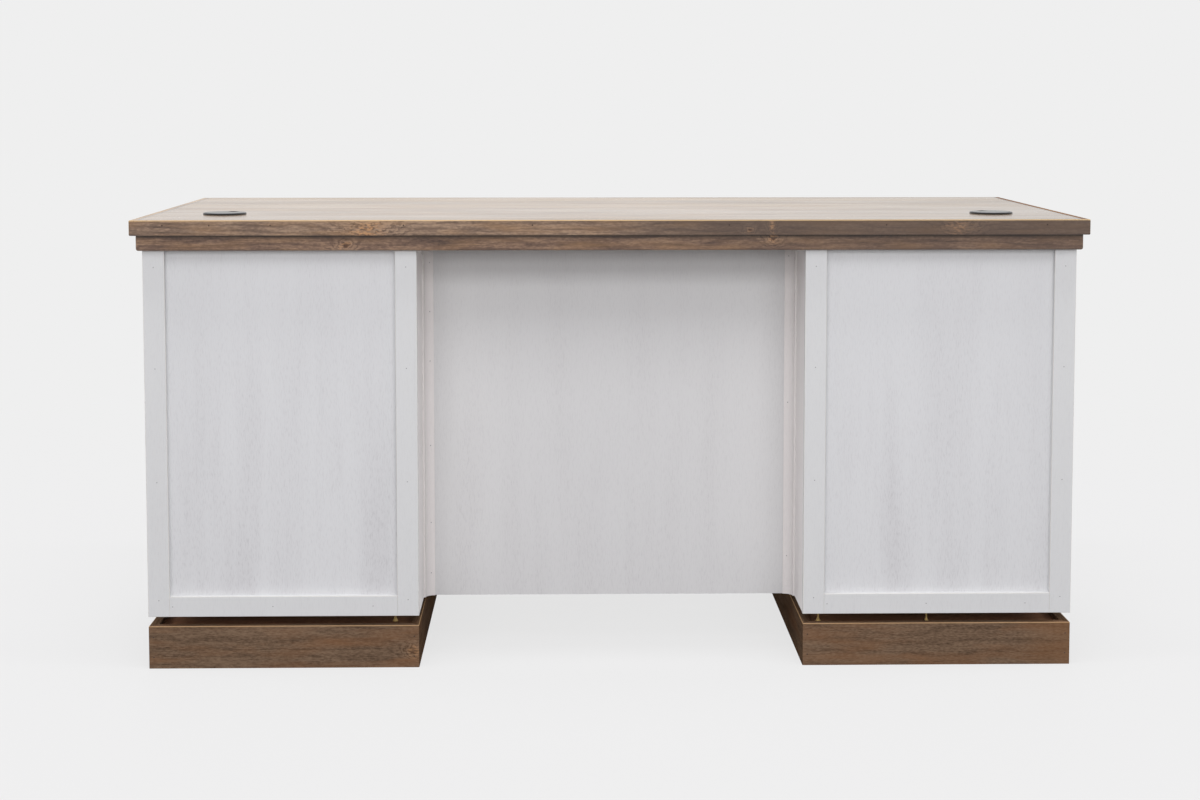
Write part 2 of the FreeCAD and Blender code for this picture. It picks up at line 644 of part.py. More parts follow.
def main():
    """Build every piece of the desk."""
    os.makedirs("parts", exist_ok=True)
    make_top()
    make_sub_top()
    for name, side in SIDES.items():
        make_carcass(name, side)
        make_applied_frames(name, side)
        make_plinth(name, side)
        save(name + "_grommet_cap", grommet_cap(side))
    save("grommet_sleeves", *[grommet_sleeve(side) for side in SIDES.values()])
    make_modesty_panel()
    save("wood_screws", *levelling_screws(), *sub_top_screws())
    left_names = ("left_file_drawer", "left_middle_drawer", "left_top_drawer")
    right_names = ("right_lower_file_drawer", "right_upper_file_drawer")
    make_drawers("left_drawer", pedestal_drawers(LEFT, left_names, LEFT_FRONT_SHARES))
    make_drawers("right_drawer", pedestal_drawers(RIGHT, right_names, RIGHT_FRONT_SHARES))
    make_drawers("pencil_drawer", [pencil_drawer()])


main()
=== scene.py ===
"""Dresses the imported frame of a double-pedestal office desk: finishes, small fittings, studio and camera.

Lengths in the classes are millimetres, as a maker writes them, and MM turns them to Blender's metres.
The frame's axes hold: +X to the visitor's right, +Y towards the user's side, +Z up, floor at zero.
"""
import json
import logging
import math
from collections.abc import Mapping, Sequence
from dataclasses import dataclass, replace
from enum import Enum
from functools import cached_property
from typing import Union

import bmesh
import bpy
import numpy as np
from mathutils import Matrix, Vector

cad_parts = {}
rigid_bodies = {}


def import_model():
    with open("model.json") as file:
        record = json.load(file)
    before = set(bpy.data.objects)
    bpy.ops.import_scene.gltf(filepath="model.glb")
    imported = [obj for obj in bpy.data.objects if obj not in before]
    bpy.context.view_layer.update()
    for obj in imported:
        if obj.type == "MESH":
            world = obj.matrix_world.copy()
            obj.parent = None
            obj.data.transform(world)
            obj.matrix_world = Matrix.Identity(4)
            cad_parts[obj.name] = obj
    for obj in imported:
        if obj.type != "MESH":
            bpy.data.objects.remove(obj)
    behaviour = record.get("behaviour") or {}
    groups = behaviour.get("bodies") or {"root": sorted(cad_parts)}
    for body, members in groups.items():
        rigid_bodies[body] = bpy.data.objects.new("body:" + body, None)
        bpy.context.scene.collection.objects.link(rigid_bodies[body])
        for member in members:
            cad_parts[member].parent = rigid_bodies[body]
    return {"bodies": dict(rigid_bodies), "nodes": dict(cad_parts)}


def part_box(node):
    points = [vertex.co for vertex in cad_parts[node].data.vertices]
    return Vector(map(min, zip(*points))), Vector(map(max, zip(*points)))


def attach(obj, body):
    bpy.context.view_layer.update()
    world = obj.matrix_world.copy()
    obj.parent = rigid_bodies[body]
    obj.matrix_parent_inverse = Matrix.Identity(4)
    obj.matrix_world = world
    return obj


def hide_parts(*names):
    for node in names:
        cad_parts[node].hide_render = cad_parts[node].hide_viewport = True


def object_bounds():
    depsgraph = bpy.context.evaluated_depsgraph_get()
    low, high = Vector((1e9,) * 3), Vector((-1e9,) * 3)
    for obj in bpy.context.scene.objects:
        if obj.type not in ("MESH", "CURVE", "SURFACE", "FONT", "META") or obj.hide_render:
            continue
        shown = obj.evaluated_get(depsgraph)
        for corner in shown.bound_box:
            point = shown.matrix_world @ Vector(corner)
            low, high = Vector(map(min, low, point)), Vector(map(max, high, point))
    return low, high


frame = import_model()
CAD_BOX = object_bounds()

MM = 0.001
MERGE_DISTANCE = 1e-7
LOG = logging.getLogger("office_desk")
Node, Socket, Material = bpy.types.Node, bpy.types.NodeSocket, bpy.types.Material
Source = Union[Node, Socket, float, tuple]
Layer = tuple[Source, str]
Shape = tuple[np.ndarray, np.ndarray]
Pair = tuple[float, float]
Way = tuple[float, float, float]
Spot = tuple[Sequence[float], Way]
TO_VISITOR, TO_USER, UP = (0.0, -1.0, 0.0), (0.0, 1.0, 0.0), (0.0, 0.0, 1.0)
TO_LEFT, TO_RIGHT = (-1.0, 0.0, 0.0), (1.0, 0.0, 0.0)

COORDS = "ShaderNodeTexCoord"
SPLIT = "ShaderNodeSeparateXYZ"
JOIN = "ShaderNodeCombineXYZ"
MAPPING = "ShaderNodeMapping"
MATH = "ShaderNodeMath"
VECTOR = "ShaderNodeVectorMath"
NOISE = "ShaderNodeTexNoise"
CHANCE = "ShaderNodeTexWhiteNoise"
# Takes in order: value, from low (0 if not given), from high (1), to low (0), to high (1).
RANGE = "ShaderNodeMapRange"
MIX = "ShaderNodeMix"
GEOMETRY = "ShaderNodeNewGeometry"
MIX_VECTOR_A, MIX_VECTOR_B, MIX_COLOUR_A, MIX_COLOUR_B = 4, 5, 6, 7
# Noise and tones have this middle; noise stays mostly in the span, and finer octaves have this share.
MIDDLE = 0.5
NOISE_SPAN = (0.3, 0.7)
NOISE_FINER = 0.55
# How far one seed moves a pattern along, across and through the grain, in metres.
SEED_STEP = (1.0, 0.37, 0.11)
# An edge is eased as its normal's largest part falls through EASED and its lean rises through LEANING.
EASED, LEANING = (0.995, 0.93), (0.05, 0.2)


class Grain(Enum):
    """Way that fibres or brush strokes run, as the order of axes: along, across, through."""

    X = (0, 1, 2)
    Y = (1, 0, 2)
    Z = (2, 0, 1)


class Side(Enum):
    """Pedestal of the desk, as the visitor sees it; the value is the sign of its X."""

    LEFT = -1
    RIGHT = 1

    @property
    def outward(self) -> Way:
        """Way from the desk's middle to this side."""
        return TO_LEFT if self is Side.LEFT else TO_RIGHT

    def own(self, name: str) -> str:
        """Puts the side's word before a name, as the frame's nodes are spelt."""
        return f"{self.name.lower()}_{name}"

    def outer(self, node: str) -> float:
        """Gives the X of a node's face that is furthest out on this side, in metres."""
        low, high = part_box(node)
        return low.x if self is Side.LEFT else high.x


def linear(hex_colour: str) -> tuple[float, ...]:
    """Turns an sRGB hex colour such as "#6C5646" to the linear colour, with alpha 1, that shaders take."""
    parts = [int(hex_colour[i:i + 2], 16) / 255 for i in (1, 3, 5)]
    return (*[p / 12.92 if p <= 0.04045 else ((p + 0.055) / 1.055) ** 2.4 for p in parts], 1.0)


@dataclass(frozen=True)
class Streak:
    """One streak of a pattern: length along the grain and width, in mm, and octaves of finer noise."""

    length: float
    width: float
    detail: float = 2.0


class Recipe:
    """Node tree of one finish, or of the room's light, with the patterns that finishes share."""

    def __init__(self, owner: Union[Material, bpy.types.World]) -> None:
        """Starts with no nodes in the owner's tree.

        Args:
            owner: New material or world.
        """
        owner.use_nodes = True
        self.owner, self.tree = owner, owner.node_tree
        self.tree.nodes.clear()

    def add(self, kind: str, inputs: Union[Mapping, Sequence] = (), operation: str = "",
            **settings: str) -> Node:
        """Adds one node with its settings and its inputs.

        Args:
            kind: Blender's name of the node type.
            inputs: Value, node or socket for each input, in order, or by the input's name or number.
            operation: What a math node does.
            **settings: Values of the node's other properties.

        Returns:
            The new node. Where it is given as an input, its first live output is linked.
        """
        node = self.tree.nodes.new(kind)
        if operation:
            node.operation = operation
        for name, value in settings.items():
            setattr(node, name, value)
        for key, value in (inputs if isinstance(inputs, Mapping) else dict(enumerate(inputs))).items():
            if isinstance(value, Node):
                value = next(socket for socket in value.outputs if socket.enabled)
            if isinstance(value, Socket):
                self.tree.links.new(value, node.inputs[key])
            else:
                node.inputs[key].default_value = value
        return node

    @cached_property
    def axes(self) -> list[Socket]:
        """X, Y and Z of the object coordinates, which are the desk's own, in metres."""
        return list(self.add(SPLIT, [self.add(COORDS).outputs["Object"]]).outputs)

    def along(self, grain: Grain, seed: float = 0.0) -> Node:
        """Gives the places along, across and through the grain, in metres, set apart by a seed."""
        place = self.add(JOIN, [self.axes[axis] for axis in grain.value])
        return self.add(MAPPING, {"Vector": place, "Location": [seed * step for step in SEED_STEP]})

    def streaks(self, place: Source, streak: Streak) -> Node:
        """Gives soft noise drawn out along the grain.

        The noise is read at the place divided by the streak's length along the grain, and by its width
        across and through it, so one cell of noise is one streak of that real size.

        Args:
            place: Grain coordinates in metres.
            streak: Size of the streaks.

        Returns:
            Noise node, whose value is about 0.2 to 0.8.
        """
        width = 1 / (streak.width * MM)
        scaled = self.add(MAPPING, {"Vector": place, "Scale": (1 / (streak.length * MM), width, width)})
        return self.add(NOISE, {"Vector": scaled, "Scale": 1.0, "Detail": streak.detail,
                                "Roughness": NOISE_FINER})

    def eased_edge(self, facing: Way) -> Node:
        """Finds the eased edges of square-cut boards that face one way.

        On an eased edge no part of the normal reaches 1, and its part along the given way is over 0.

        Args:
            facing: Way that the edges face, such as up.

        Returns:
            Node that is 1 on such an edge and 0 on a flat face.
        """
        normal = self.add(GEOMETRY).outputs["Normal"]
        x, y, z = self.add(SPLIT, [self.add(VECTOR, [normal], "ABSOLUTE")]).outputs
        largest = self.add(MATH, [self.add(MATH, [x, y], "MAXIMUM"), z], "MAXIMUM")
        lean = self.add(VECTOR, [normal, facing], "DOT_PRODUCT").outputs["Value"]
        rounded, towards = self.add(RANGE, [largest, *EASED]), self.add(RANGE, [lean, *LEANING])
        return self.add(MATH, [rounded, towards], "MULTIPLY")

    def layered(self, ground: str, *layers: Layer) -> Source:
        """Lays colours over a ground, one after the other.

        Args:
            ground: Hex colour of the ground.
            *layers: Share and hex colour of each layer.

        Returns:
            Source of the colour that shows.
        """
        colour: Source = linear(ground)
        for share, over in layers:
            mixed = {0: share, MIX_COLOUR_A: colour, MIX_COLOUR_B: linear(over)}
            colour = self.add(MIX, mixed, data_type="RGBA")
        return colour

    def close(self, colour: Source, height: Source, relief: Pair, sockets: Mapping[str, Source]) -> Material:
        """Ends a finish in one principled shader with a faint relief.

        Args:
            colour: The finish's colour.
            height: Pattern of the relief.
            relief: Its depth in mm, and the share of it that shows.
            sockets: Values and links of the shader's other sockets, by name.

        Returns:
            The finished material.
        """
        depth, share = relief
        bump = self.add("ShaderNodeBump", {"Strength": share, "Distance": depth * MM, "Height": height})
        shader = self.add("ShaderNodeBsdfPrincipled", {"Base Color": colour, "Normal": bump, **sockets})
        self.add("ShaderNodeOutputMaterial", {"Surface": shader})
        return self.owner


@dataclass(frozen=True)
class Knot:
    """Knot in a board, in mm: its place along, across and through the grain, and its radius.

    The stretch is how much longer it is along the grain, the core how dark its middle is and the
    glow how amber the wood is round it.
    """

    along: float
    across: float
    through: float
    radius: float
    stretch: float = 1.8
    core: float = 0.8
    glow: float = 0.9


@dataclass(frozen=True)
class Drift:
    """Change of colour along an axis of the desk: from start to end, in mm, up to a share of another colour;
    most are stain, and some are painted shade.

    The dulling is the share of the gloss that it takes away.
    """

    start: float
    end: float
    share: float
    colour: str
    axis: int = 0
    dulling: float = 0.0


@dataclass(frozen=True)
class StainedAlder:
    """Knotty alder, wiped with brown stain and finished in satin lacquer.

    To the eye: close grain with soft rings, grey-brown to amber blotches where the stain took
    unevenly, dark short pores, lighter sanded edges with a painted highlight where they face up,
    and a pale sheen at a low angle.
    """

    dark: str = "#46372F"
    mid: str = "#766151"
    light: str = "#A78D75"
    amber: str = "#94724F"
    knot: str = "#3A2114"
    glow: str = "#BC8F66"
    # Tan of the eased edges that face up: sanded wear, and partly a painted highlight of light from above.
    worn_highlight: str = "#C6A878"
    worn_highlight_share: float = 0.85
    # Fibres are really about 0.4 mm wide; they are drawn coarser so that they show from the camera.
    fibre: Streak = Streak(45.0, 1.8, 3.0)
    vein: Streak = Streak(200.0, 3.2, 3.0)
    blotch: Streak = Streak(130.0, 34.0, 4.0)
    fleck: Streak = Streak(7.0, 2.2, 1.0)
    # How far these four move the tone, and then the rings.
    weights: tuple[float, ...] = (0.8, 0.3, 0.95, 0.75)
    ring_weight: float = 0.22
    # Amber passages, and the levels of noise between which they come in.
    warm: Streak = Streak(140.0, 18.0, 4.0)
    warm_levels: Pair = (0.46, 0.7)
    warm_share: float = 0.5
    # Rings round a pith line under the face, the noise that bends them, and the late part of a ring.
    ring_mm: float = 6.0
    pith_mm: float = 60.0
    warp: Streak = Streak(260.0, 60.0, 3.0)
    warp_mm: float = 26.0
    late_wood: Pair = (0.2, 0.5)
    # A knot's edge is frayed by up to this many radii; it bends the rings and makes them darker.
    fray: Streak = Streak(9.0, 7.0, 3.0)
    fray_radii: float = 2.6
    knot_rings: float = 3.0
    knot_ring_weight: float = 0.45
    # Its glow is broken up by flecks between these levels; its core ends between these radii.
    glow_levels: Pair = (0.44, 0.6)
    glow_floor: float = 0.1
    core_radii: Pair = (0.7, 0.35)
    # Glued-up boards: how far apart their figures lie, in metres, and the span of their tones.
    board_apart: Way = (9.0, 0.6, 0.4)
    board_tones: Pair = (0.3, 0.65)
    # The glue joint between them fades from one to the other share of its half width.
    joint_mm: float = 1.2
    joint_fade: Pair = (1.6, 0.4)
    joint_share: float = 0.6
    roughness: float = 0.3
    rough_swing: Pair = (0.06, -0.03)
    matt: float = 0.95
    specular: float = 0.5
    lacquer: float = 0.0
    lacquer_roughness: float = 0.18
    # Long bands that drank more or less of the lacquer, and by what share it varies.
    sheen: Streak = Streak(420.0, 90.0, 3.0)
    sheen_levels: Pair = (0.35, 0.65)
    sheen_swing: float = 0.0
    relief: Pair = (0.12, 0.25)

    def material(self, piece: str, grain: Grain, seed: float, board_mm: float = 0.0,
                 knots: Sequence[Knot] = (), drifts: Sequence[Drift] = ()) -> Material:
        """Makes the finish for one piece.

        Args:
            piece: Name of the piece, for the material's name.
            grain: Way that the fibres run.
            seed: Number that sets this piece's figure apart.
            board_mm: Width of the glued-up boards, or 0 for one board.
            knots: Knots that the piece shows.
            drifts: Changes of stain over the desk, and of painted shade where a drift stands for shade.

        Returns:
            The new material.
        """
        net = Recipe(bpy.data.materials.new(f"alder_stained_lacquered_{piece}"))
        raw, place = net.along(grain), net.along(grain, seed)
        tone: Source = MIDDLE
        joints: list[Layer] = []
        stains_and_shade: list[Layer] = []
        if board_mm:
            chance, joint = self._boards(net, raw, board_mm)
            shift = net.add(VECTOR, [chance.outputs["Color"], self.board_apart], "MULTIPLY")
            place = net.add(VECTOR, [place, shift], "ADD")
            tone = net.add(RANGE, [chance.outputs["Value"], 0.0, 1.0, *self.board_tones])
            joints.append((joint, self.dark))
        patterns = [net.streaks(place, streak) for streak in (self.fibre, self.vein, self.blotch, self.fleck)]
        fibre, fleck = patterns[0], patterns[-1]
        ring, swirl, halo, core = self._rings(net, place, raw, fleck, knots)
        for pattern, weight in zip((*patterns, ring), (*self.weights, swirl)):
            swing = net.add(MATH, [pattern, MIDDLE], "SUBTRACT")
            tone = net.add(MATH, [swing, weight, tone], "MULTIPLY_ADD")
        low, high = net.add(RANGE, [tone, 0.0, MIDDLE]), net.add(RANGE, [tone, MIDDLE])
        warm = net.add(RANGE, [net.streaks(place, self.warm), *self.warm_levels, 0.0, self.warm_share])
        # Eased edges that face up: tan of sanded wear, partly a painted highlight of light from above.
        worn_highlight = net.add(MATH, [net.eased_edge(UP), self.worn_highlight_share], "MULTIPLY")
        swung = [self.roughness + swing for swing in self.rough_swing]
        rough: Source = net.add(RANGE, [fibre, *NOISE_SPAN, *swung])
        lacquer: Source = self.lacquer
        if self.sheen_swing:
            swung = [self.lacquer * (1 + sign * self.sheen_swing) for sign in (-1, 1)]
            lacquer = net.add(RANGE, [net.streaks(place, self.sheen), *self.sheen_levels, *swung])
        # Each drift lays its colour; most are stain, and some are painted shade.
        for drift in drifts:
            span = [net.axes[drift.axis], drift.start * MM, drift.end * MM]
            stains_and_shade.append((net.add(RANGE, [*span, 0.0, drift.share]), drift.colour))
            if drift.dulling:
                gloss = net.add(RANGE, [*span, 1.0, 1 - drift.dulling])
                rough = net.add(RANGE, [gloss, 0.0, 1.0, self.matt, rough])
                lacquer = net.add(MATH, [gloss, lacquer], "MULTIPLY")
        colour = net.layered(self.dark, (low, self.mid), (high, self.light), (warm, self.amber), *stains_and_shade,
                             (halo, self.glow), (core, self.knot), *joints, (worn_highlight, self.worn_highlight))
        return net.close(colour, fibre, self.relief, {
            "Roughness": rough, "Specular IOR Level": self.specular, "Coat Weight": lacquer,
            "Coat Roughness": self.lacquer_roughness})

    def _boards(self, net: Recipe, raw: Source, board_mm: float) -> tuple[Node, Node]:
        """Tells glued-up boards apart and finds the hairline joints between them.

        Args:
            net: The finish's recipe.
            raw: Grain coordinates in metres.
            board_mm: Width of a board.

        Returns:
            Node with one chance value for each board, and the node that is over 0 on the joints.
        """
        across = net.add(SPLIT, [raw]).outputs[1]
        number = net.add(MATH, [net.add(MATH, [across, board_mm * MM], "DIVIDE")], "FLOOR")
        apart = net.add(MATH, [across, board_mm * MM / 2], "PINGPONG")
        fade = [self.joint_mm * MM / 2 * share for share in self.joint_fade]
        joint = net.add(RANGE, [apart, *fade, 0.0, self.joint_share])
        return net.add(CHANCE, {"W": number}, noise_dimensions="1D"), joint

    def _rings(self, net: Recipe, place: Source, raw: Source, fleck: Source,
               knots: Sequence[Knot]) -> tuple[Source, Source, Source, Source]:
        """Draws growth rings round a pith line, bent round the knots.

        The ring number is the distance from the pith line over the ring spacing, plus a hump over
        each knot, exp(-0.2 d squared) at d radii from it, so that the rings close round the knot.
        The knot's glow falls off as exp(-d squared).

        Args:
            net: The finish's recipe.
            place: Grain coordinates with the piece's own offset, in metres.
            raw: Grain coordinates without it.
            fleck: Short noise that breaks up the halo.
            knots: Knots that the piece shows.

        Returns:
            Sources of the late-wood line, its weight, the amber halo of the knots and their dark cores.
        """
        _, across, through = net.add(SPLIT, [place]).outputs
        flat = net.add(JOIN, [0.0, across, net.add(MATH, [through, self.pith_mm * MM], "ADD")])
        radius = net.add(VECTOR, [flat], "LENGTH").outputs["Value"]
        radius = net.add(MATH, [net.streaks(place, self.warp), self.warp_mm * MM, radius], "MULTIPLY_ADD")
        number = net.add(MATH, [radius, 1 / (self.ring_mm * MM)], "MULTIPLY")
        fray = net.add(MATH, [net.streaks(place, self.fray), MIDDLE], "SUBTRACT")
        broken = net.add(RANGE, [fleck, *self.glow_levels, self.glow_floor])
        halo: Source = 0.0
        core: Source = 0.0
        swirl: Source = -self.ring_weight
        for knot in knots:
            centre = (knot.along * MM, knot.across * MM, knot.through * MM)
            size = 1 / (knot.radius * MM)
            offset = net.add(VECTOR, [raw, centre], "SUBTRACT")
            offset = net.add(VECTOR, [offset, (size / knot.stretch, size, size)], "MULTIPLY")
            apart = net.add(VECTOR, [offset], "LENGTH").outputs["Value"]
            apart = net.add(MATH, [fray, self.fray_radii, apart], "MULTIPLY_ADD")
            square = net.add(MATH, [apart, apart], "MULTIPLY")
            near = net.add(MATH, [math.exp(-1), square], "POWER")
            wide = net.add(MATH, [math.exp(-0.2), square], "POWER")
            number = net.add(MATH, [wide, self.knot_rings, number], "MULTIPLY_ADD")
            swirl = net.add(MATH, [wide, -self.knot_ring_weight, swirl], "MULTIPLY_ADD")
            glow = net.add(MATH, [net.add(MATH, [near, broken], "MULTIPLY"), knot.glow], "MULTIPLY")
            halo = net.add(MATH, [glow, halo], "MAXIMUM")
            core = net.add(MATH, [net.add(RANGE, [apart, *self.core_radii, 0.0, knot.core]), core], "MAXIMUM")
        ring = net.add(MATH, [number, 0.5], "PINGPONG")
        ring = net.add(RANGE, [ring, *self.late_wood], interpolation_type="SMOOTHSTEP")
        return ring, swirl, halo, core


@dataclass(frozen=True)
class BrushedPaint:
    """Satin white paint brushed thinly over wood.

    To the eye: a cool white with faint drawn-out bands, thinner greyish passages where the wood shows
    through, more of them low down where they are partly painted shade, hair lines of its pores, and a soft
    sheen.
    """

    full: str = "#D6D7D8"
    thin: str = "#C1C0C2"
    hair: str = "#9E9B9E"
    bare: str = "#C9B795"
    # Thinner bands, the levels of noise between which they come in, and their share in between them.
    bands: Streak = Streak(480.0, 52.0, 5.0)
    band_levels: Pair = (0.42, 0.7)
    band_floor: float = 0.35
    # Pores under the paint are about 0.3 mm wide; they are drawn coarser so that they show.
    pores: Streak = Streak(10.0, 1.6)
    pore_levels: Pair = (0.5, 0.72)
    # How much the pores show in a band, and everywhere.
    pore_share: float = 0.6
    pore_floor: float = 0.06
    # The greyer bands grow from the high height down to the low one, in mm, so the paint darkens towards the
    # bottom; this is partly painted shade.
    high: float = 800.0
    low: float = 150.0
    roughness: float = 0.5
    rough_swing: Pair = (-0.05, 0.08)
    ior: float = 1.5
    relief: Pair = (0.1, 0.15)

    def material(self, piece: str, grain: Grain, seed: float, clouds: float = 0.2,
                 rubbed: float = 0.0) -> Material:
        """Makes the finish for one piece.

        The pores are fine noise over a threshold; they show a little everywhere and more inside the
        long bands of a broad noise, which grow from a third to full between the high and low levels.

        Args:
            piece: Name of the piece, for the material's name.
            grain: Way that the brush was drawn.
            seed: Number that sets this piece's strokes apart.
            clouds: How much the thinner bands show, from 0 to 1.
            rubbed: How much bare wood shows on the eased edges of the visitor's face, from 0 to 1.

        Returns:
            The new material.
        """
        net = Recipe(bpy.data.materials.new(f"wood_brushed_white_{piece}"))
        place = net.along(grain, seed)
        cloud, pores = net.streaks(place, self.bands), net.streaks(place, self.pores)
        # Bands grow towards the bottom: partly brush bands, partly painted shade low down.
        fall = net.add(RANGE, [net.axes[2], self.high * MM, self.low * MM, clouds / 3, clouds])
        band = net.add(RANGE, [cloud, *self.band_levels, self.band_floor])
        patch = net.add(MATH, [band, fall], "MULTIPLY")
        depth = net.add(MATH, [patch, self.pore_share, self.pore_floor], "MULTIPLY_ADD")
        thin = net.add(MATH, [depth, net.add(RANGE, [pores, *self.pore_levels])], "MULTIPLY")
        edge = net.add(MATH, [net.eased_edge(TO_VISITOR), rubbed], "MULTIPLY")
        colour = net.layered(self.full, (patch, self.thin), (thin, self.hair), (edge, self.bare))
        swung = [self.roughness + swing for swing in self.rough_swing]
        rough = net.add(RANGE, [cloud, *NOISE_SPAN, *swung])
        return net.close(colour, pores, self.relief, {"Roughness": rough, "IOR": self.ior})


@dataclass(frozen=True)
class SealedBirch:
    """Pale birch plywood and boards, sanded and clear-sealed.

    To the eye: creamy wood with fine even fibres, a few tan streaks and a low satin sheen.
    """

    light: str = "#D9C3A0"
    tan: str = "#C0A277"
    fibre: Streak = Streak(70.0, 2.0)
    fibre_weight: float = 0.5
    band: Streak = Streak(260.0, 14.0, 3.0)
    facing_least: float = 0.7
    roughness: float = 0.5
    ior: float = 1.5
    relief: Pair = (0.15, 0.3)

    def material(self, piece: str, grain: Grain, seed: float) -> Material:
        """Makes the finish for one piece; boards that face the user or the visitor run along X.

        Args:
            piece: Name of the piece, for the material's name.
            grain: Way that the other boards' fibres run.
            seed: Number that sets this piece's figure apart.

        Returns:
            The new material.
        """
        net = Recipe(bpy.data.materials.new(f"birch_clear_sealed_{piece}"))
        facing = net.add(SPLIT, [net.add(GEOMETRY).outputs["True Normal"]]).outputs[1]
        across = net.add(MATH, [net.add(MATH, [facing], "ABSOLUTE"), self.facing_least], "GREATER_THAN")
        place = net.add(MIX, {0: across, MIX_VECTOR_A: net.along(grain, seed),
                              MIX_VECTOR_B: net.along(Grain.X, seed + 1)}, data_type="VECTOR")
        fibre = net.streaks(place, self.fibre)
        tone = net.add(MATH, [fibre, self.fibre_weight, net.streaks(place, self.band)], "MULTIPLY_ADD")
        colour = net.layered(self.light, (net.add(RANGE, [tone, MIDDLE]), self.tan))
        return net.close(colour, fibre, self.relief, {"Roughness": self.roughness, "IOR": self.ior})


@dataclass(frozen=True)
class SmallFinish:
    """Finish of a small fitting: one colour that a fine grain of a second colour breaks up.

    To the eye: an even surface whose roughness and height vary at the size of its grain.
    """

    name: str
    colour: str
    second: str
    roughness: float
    spread: float
    grain_mm: float
    height_mm: float
    metallic: float = 0.0
    detail: float = 3.0
    relief_share: float = 0.4

    def material(self) -> Material:
        """Makes the finish: noise at the grain's size mixes the colours and moves the roughness.

        Returns:
            The new material.
        """
        net = Recipe(bpy.data.materials.new(self.name))
        grain = net.add(NOISE, {"Vector": net.add(COORDS).outputs["Object"],
                                "Scale": 1 / (self.grain_mm * MM), "Detail": self.detail})
        colour = net.layered(self.colour, (grain, self.second))
        span = (self.roughness - self.spread, self.roughness + self.spread)
        rough = net.add(RANGE, [grain, *NOISE_SPAN, *span])
        relief = (self.height_mm, self.relief_share)
        return net.close(colour, grain, relief, {"Roughness": rough, "Metallic": self.metallic})


EDGE_ALDER = StainedAlder()
# The top has more coats of lacquer than its edges, so it shines at a low angle.
TOP_ALDER = replace(EDGE_ALDER, mid="#8F7455", light="#BA9C6E", fibre=Streak(110.0, 1.2, 3.0),
                    vein=Streak(320.0, 3.2, 3.0), blotch=Streak(240.0, 34.0, 4.0),
                    fleck=Streak(7.0, 1.5, 1.0), weights=(1.1, 0.95, 0.75, 0.5), ring_weight=0.28,
                    roughness=0.2, lacquer=0.35, sheen_swing=0.45)
# The end strips were sanded and stained apart from the panel and shine less.
END_ALDER = replace(TOP_ALDER, roughness=0.3, lacquer=0.2)
# The rails under the top took more stain.
RAIL_ALDER = replace(EDGE_ALDER, dark="#382B25", mid="#6B5446", light="#9F8269")
# The plinth boards have stain and little lacquer: darker, redder and duller than the top.
PLINTH_ALDER = replace(EDGE_ALDER, dark="#392B20", mid="#665241", light="#846D58", amber="#7C573B",
                       worn_highlight="#A98A66", warm=Streak(170.0, 28.0, 4.0), warm_share=0.55,
                       weights=(0.6, 0.25, 0.5, 0.9), ring_weight=0.16, roughness=0.75, specular=0.2)
# Their side boards have stain only, so they keep their brown at a low angle.
SIDE_ALDER = replace(PLINTH_ALDER, roughness=0.94, specular=0.0)
# The bearers and cleats inside the plinths are drawn lighter than the boards: painted light in the dark gap
# under the pedestals.
LIT_BEARER_ALDER = replace(PLINTH_ALDER, dark="#5E4030", mid="#8F674E", light="#AC8464")
WHITE = BrushedPaint()
# The applied frames took one coat less than the panels.
FRAME_WHITE = replace(WHITE, full="#D1D2D2")
# The panel in the knee space is painted a little lighter: painted light against the shade of its recess.
LIT_KNEE_WHITE = replace(WHITE, full="#D8D8D8", thin="#C6C4C5")
# The paint beside it is far lighter, painted light for faces that the lamps reach only at a low angle, and
# has a faint beige cast; the coves have less of both.
LIT_INNER_WHITE = replace(WHITE, full="#EFEBE9", thin="#E3DFDD")
LIT_COVE_WHITE = replace(WHITE, full="#E6E2E0", thin="#DAD6D5")
BIRCH = SealedBirch()
# Injection-moulded ABS: near-black and glossy, with a faint moulding ripple.
BLACK_ABS = SmallFinish("abs_moulded_gloss_black", "#161617", "#1E1E20", 0.22, 0.04, 3.0, 0.02)
# Steel plated yellow: a dull brass colour, scuffed by the driver.
YELLOW_ZINC = SmallFinish("steel_yellow_zinc_plated", "#DDBE7C", "#C6A566", 0.45, 0.08, 1.5, 0.03, 0.3)
# Cold-rolled steel plated with bright zinc: cool grey with a soft spangle.
BRIGHT_ZINC = SmallFinish("steel_bright_zinc_plated", "#B9BCBF", "#A3A6AA", 0.32, 0.08, 4.0, 0.02, 1.0)
# Powder-coated zinc casting: matt black with a fine orange-peel skin.
POWDER_COAT = SmallFinish("zinc_casting_black_powder_coat", "#1D1D1E", "#272728", 0.5, 0.06, 1.2, 0.05)
# Putty over the heads of brad nails: grey specks in the paint, dark ones in the stained wood.
PAINT_PUTTY = SmallFinish("nail_putty_greyed", "#8C8A8C", "#A09EA0", 0.7, 0.05, 0.8, 0.05)
WOOD_PUTTY = SmallFinish("nail_putty_dark_brown", "#2E221B", "#3D2D23", 0.6, 0.05, 0.8, 0.05)


def paint_node(node: str, material: Material) -> None:
    """Puts a finish on a frame node.

    Args:
        node: The node's name.
        material: Finish for all of its faces.
    """
    mesh = frame["nodes"][node].data
    mesh.materials.clear()
    mesh.materials.append(material)
    LOG.info("%s: %s", node, material.name)


